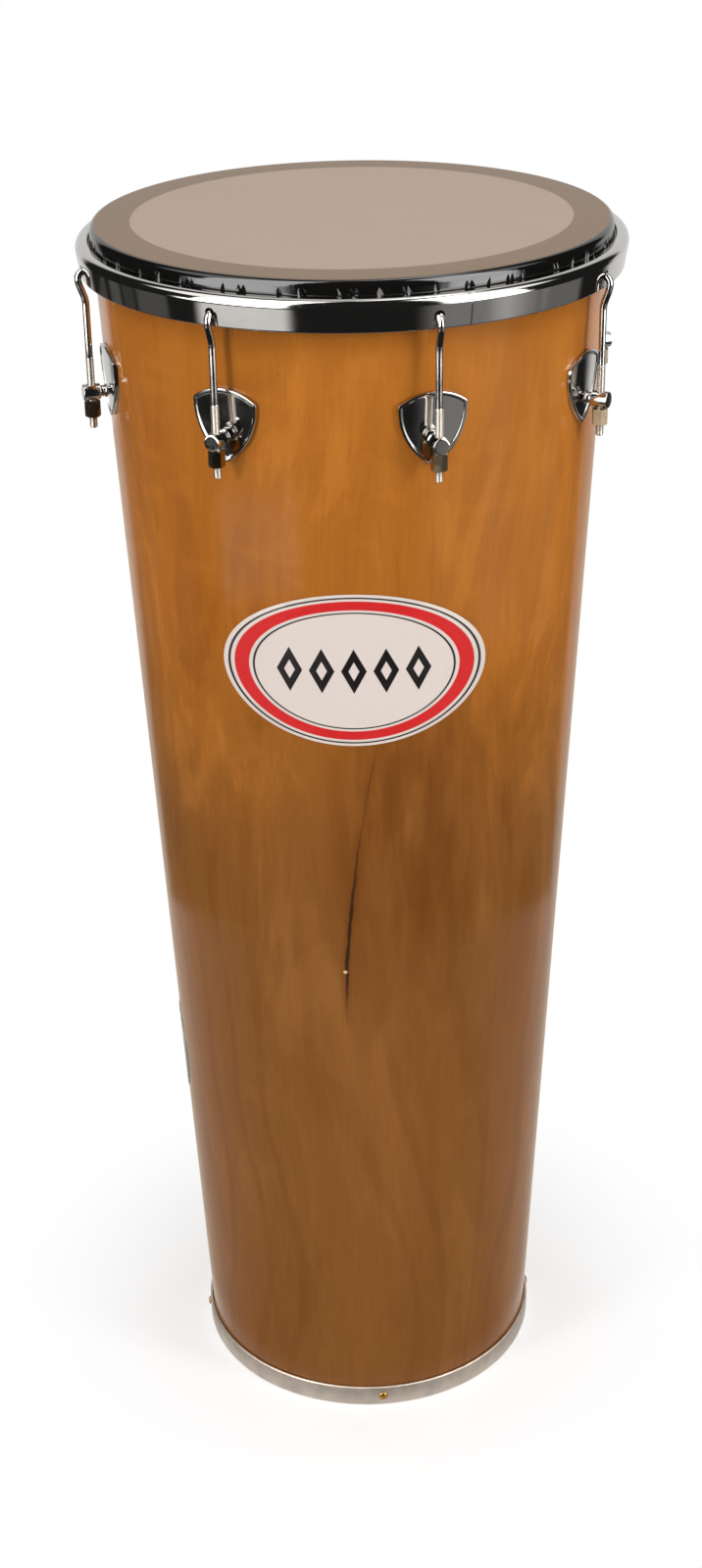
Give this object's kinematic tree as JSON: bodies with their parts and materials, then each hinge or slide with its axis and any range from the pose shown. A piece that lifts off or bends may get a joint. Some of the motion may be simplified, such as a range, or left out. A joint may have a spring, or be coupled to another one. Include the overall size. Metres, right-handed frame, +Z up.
{
  "type": "timbal drum",
  "caption": "Tall conical wooden hand drum with a single plastic head, chromed counter hoop, hook-and-nut tuning on shield plates, and a metal foot ring.",
  "frame": {"origin": "centre of the foot ring's underside, on the floor", "axes": "+Z up along the drum's axis, -Y towards the front with the badge, +X to the right as seen from the front"},
  "size_m": [0.374, 0.374, 0.918],
  "materials": {
    "varnished_wood": "amber veneer under gloss varnish",
    "bare_wood": "bare plywood inside the shell",
    "chrome": "polished chrome plate on steel",
    "alloy": "satin aluminium",
    "satin_steel": "satin steel strip",
    "brass": "brass wood screws",
    "film": "satin polyester film",
    "white_foil": null,
    "grey_foil": "small metallised foil seal, bare"
  },
  "bodies": {
    "drum": {"shell": "varnished_wood", "lower_stiffener": "bare_wood", "upper_stiffener": "bare_wood", "foot_ring": "satin_steel", "head_film": "film", "front_badge": "white_foil", "side_seal": "grey_foil", "foot_screw_1": "brass", "foot_screw_2": "brass", "foot_screw_3": "brass", "foot_screw_4": "brass", "post_1": "chrome", "post_2": "chrome", "post_3": "chrome", "post_4": "chrome", "post_5": "chrome", "post_6": "chrome", "post_7": "chrome", "post_8": "chrome", "lug_plate_1": "chrome", "lug_plate_2": "chrome", "lug_plate_3": "chrome", "lug_plate_4": "chrome", "lug_plate_5": "chrome", "lug_plate_6": "chrome", "lug_plate_7": "chrome", "lug_plate_8": "chrome", "inner_nut_1": "satin_steel", "inner_nut_2": "satin_steel", "inner_nut_3": "satin_steel", "inner_nut_4": "satin_steel", "inner_nut_5": "satin_steel", "inner_nut_6": "satin_steel", "inner_nut_7": "satin_steel", "inner_nut_8": "satin_steel"},
    "tuning_set": {"counter_hoop": "chrome", "flesh_hoop": "alloy", "hook_1": "chrome", "hook_2": "chrome", "hook_3": "chrome", "hook_4": "chrome", "hook_5": "chrome", "hook_6": "chrome", "hook_7": "chrome", "hook_8": "chrome"},
    "nut_1": {"tuning_nut_1": "chrome"},
    "nut_2": {"tuning_nut_2": "chrome"},
    "nut_3": {"tuning_nut_3": "chrome"},
    "nut_4": {"tuning_nut_4": "chrome"},
    "nut_5": {"tuning_nut_5": "chrome"},
    "nut_6": {"tuning_nut_6": "chrome"},
    "nut_7": {"tuning_nut_7": "chrome"},
    "nut_8": {"tuning_nut_8": "chrome"}
  },
  "joints": [
    {"name": "hoop_travel", "type": "slide", "parent": "drum", "child": "tuning_set", "axis": [0, 0, 1], "range_m": [-0.002, 0.004]},
    {"name": "nut_turn_1", "type": "hinge", "parent": "drum", "child": "nut_1", "pos_m": [-0.07078, -0.17088, 0.80175], "axis": [0, 0, 1], "range_deg": [-1360.6, 680.3]},
    {"name": "nut_turn_2", "type": "hinge", "parent": "drum", "child": "nut_2", "pos_m": [0.07078, -0.17088, 0.80175], "axis": [0, 0, 1], "range_deg": [-1360.6, 680.3]},
    {"name": "nut_turn_3", "type": "hinge", "parent": "drum", "child": "nut_3", "pos_m": [0.17088, -0.07078, 0.80175], "axis": [0, 0, 1], "range_deg": [-1360.6, 680.3]},
    {"name": "nut_turn_4", "type": "hinge", "parent": "drum", "child": "nut_4", "pos_m": [0.17088, 0.07078, 0.80175], "axis": [0, 0, 1], "range_deg": [-1360.6, 680.3]},
    {"name": "nut_turn_5", "type": "hinge", "parent": "drum", "child": "nut_5", "pos_m": [0.07078, 0.17088, 0.80175], "axis": [0, 0, 1], "range_deg": [-1360.6, 680.3]},
    {"name": "nut_turn_6", "type": "hinge", "parent": "drum", "child": "nut_6", "pos_m": [-0.07078, 0.17088, 0.80175], "axis": [0, 0, 1], "range_deg": [-1360.6, 680.3]},
    {"name": "nut_turn_7", "type": "hinge", "parent": "drum", "child": "nut_7", "pos_m": [-0.17088, 0.07078, 0.80175], "axis": [0, 0, 1], "range_deg": [-1360.6, 680.3]},
    {"name": "nut_turn_8", "type": "hinge", "parent": "drum", "child": "nut_8", "pos_m": [-0.17088, -0.07078, 0.80175], "axis": [0, 0, 1], "range_deg": [-1360.6, 680.3]}
  ],
  "couplings": [
    {"joint": "nut_turn_1", "follows": "hoop_travel", "rad_per_m": -5936.9},
    {"joint": "nut_turn_2", "follows": "hoop_travel", "rad_per_m": -5936.9},
    {"joint": "nut_turn_3", "follows": "hoop_travel", "rad_per_m": -5936.9},
    {"joint": "nut_turn_4", "follows": "hoop_travel", "rad_per_m": -5936.9},
    {"joint": "nut_turn_5", "follows": "hoop_travel", "rad_per_m": -5936.9},
    {"joint": "nut_turn_6", "follows": "hoop_travel", "rad_per_m": -5936.9},
    {"joint": "nut_turn_7", "follows": "hoop_travel", "rad_per_m": -5936.9},
    {"joint": "nut_turn_8", "follows": "hoop_travel", "rad_per_m": -5936.9}
  ]
}
